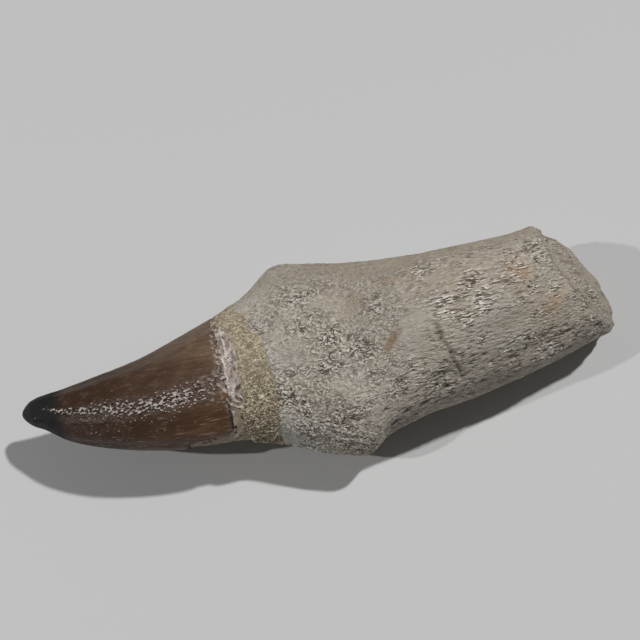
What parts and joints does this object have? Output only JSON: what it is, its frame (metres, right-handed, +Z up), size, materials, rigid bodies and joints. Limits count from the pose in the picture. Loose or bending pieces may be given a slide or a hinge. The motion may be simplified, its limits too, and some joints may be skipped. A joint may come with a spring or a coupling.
{
  "type": "fossil mosasaur tooth",
  "caption": "Rooted fossil reptile tooth lying on its side: recurved conical enamel crown, cemented sand collar and rough bony root with an oblique broken end.",
  "frame": {"origin": "on the surface the tooth lies on, under the middle of its bounding box", "axes": "+X from the crown's tip to the root's broken end, +Y to the back of the tooth's curve, +Z up with the tooth lying on its side"},
  "size_m": [0.1036, 0.0362, 0.0285],
  "materials": {
    "crown": "glossy dark brown fossil enamel, near black at the tip, over chalky pinkish dentine at its base",
    "sand": "matt yellow-buff sand grains set in filler",
    "bone": "matt grey-buff porous fossil bone"
  },
  "bodies": {
    "root": {"crown": "crown", "sand_collar": "sand", "root": "bone"}
  },
  "joints": []
}
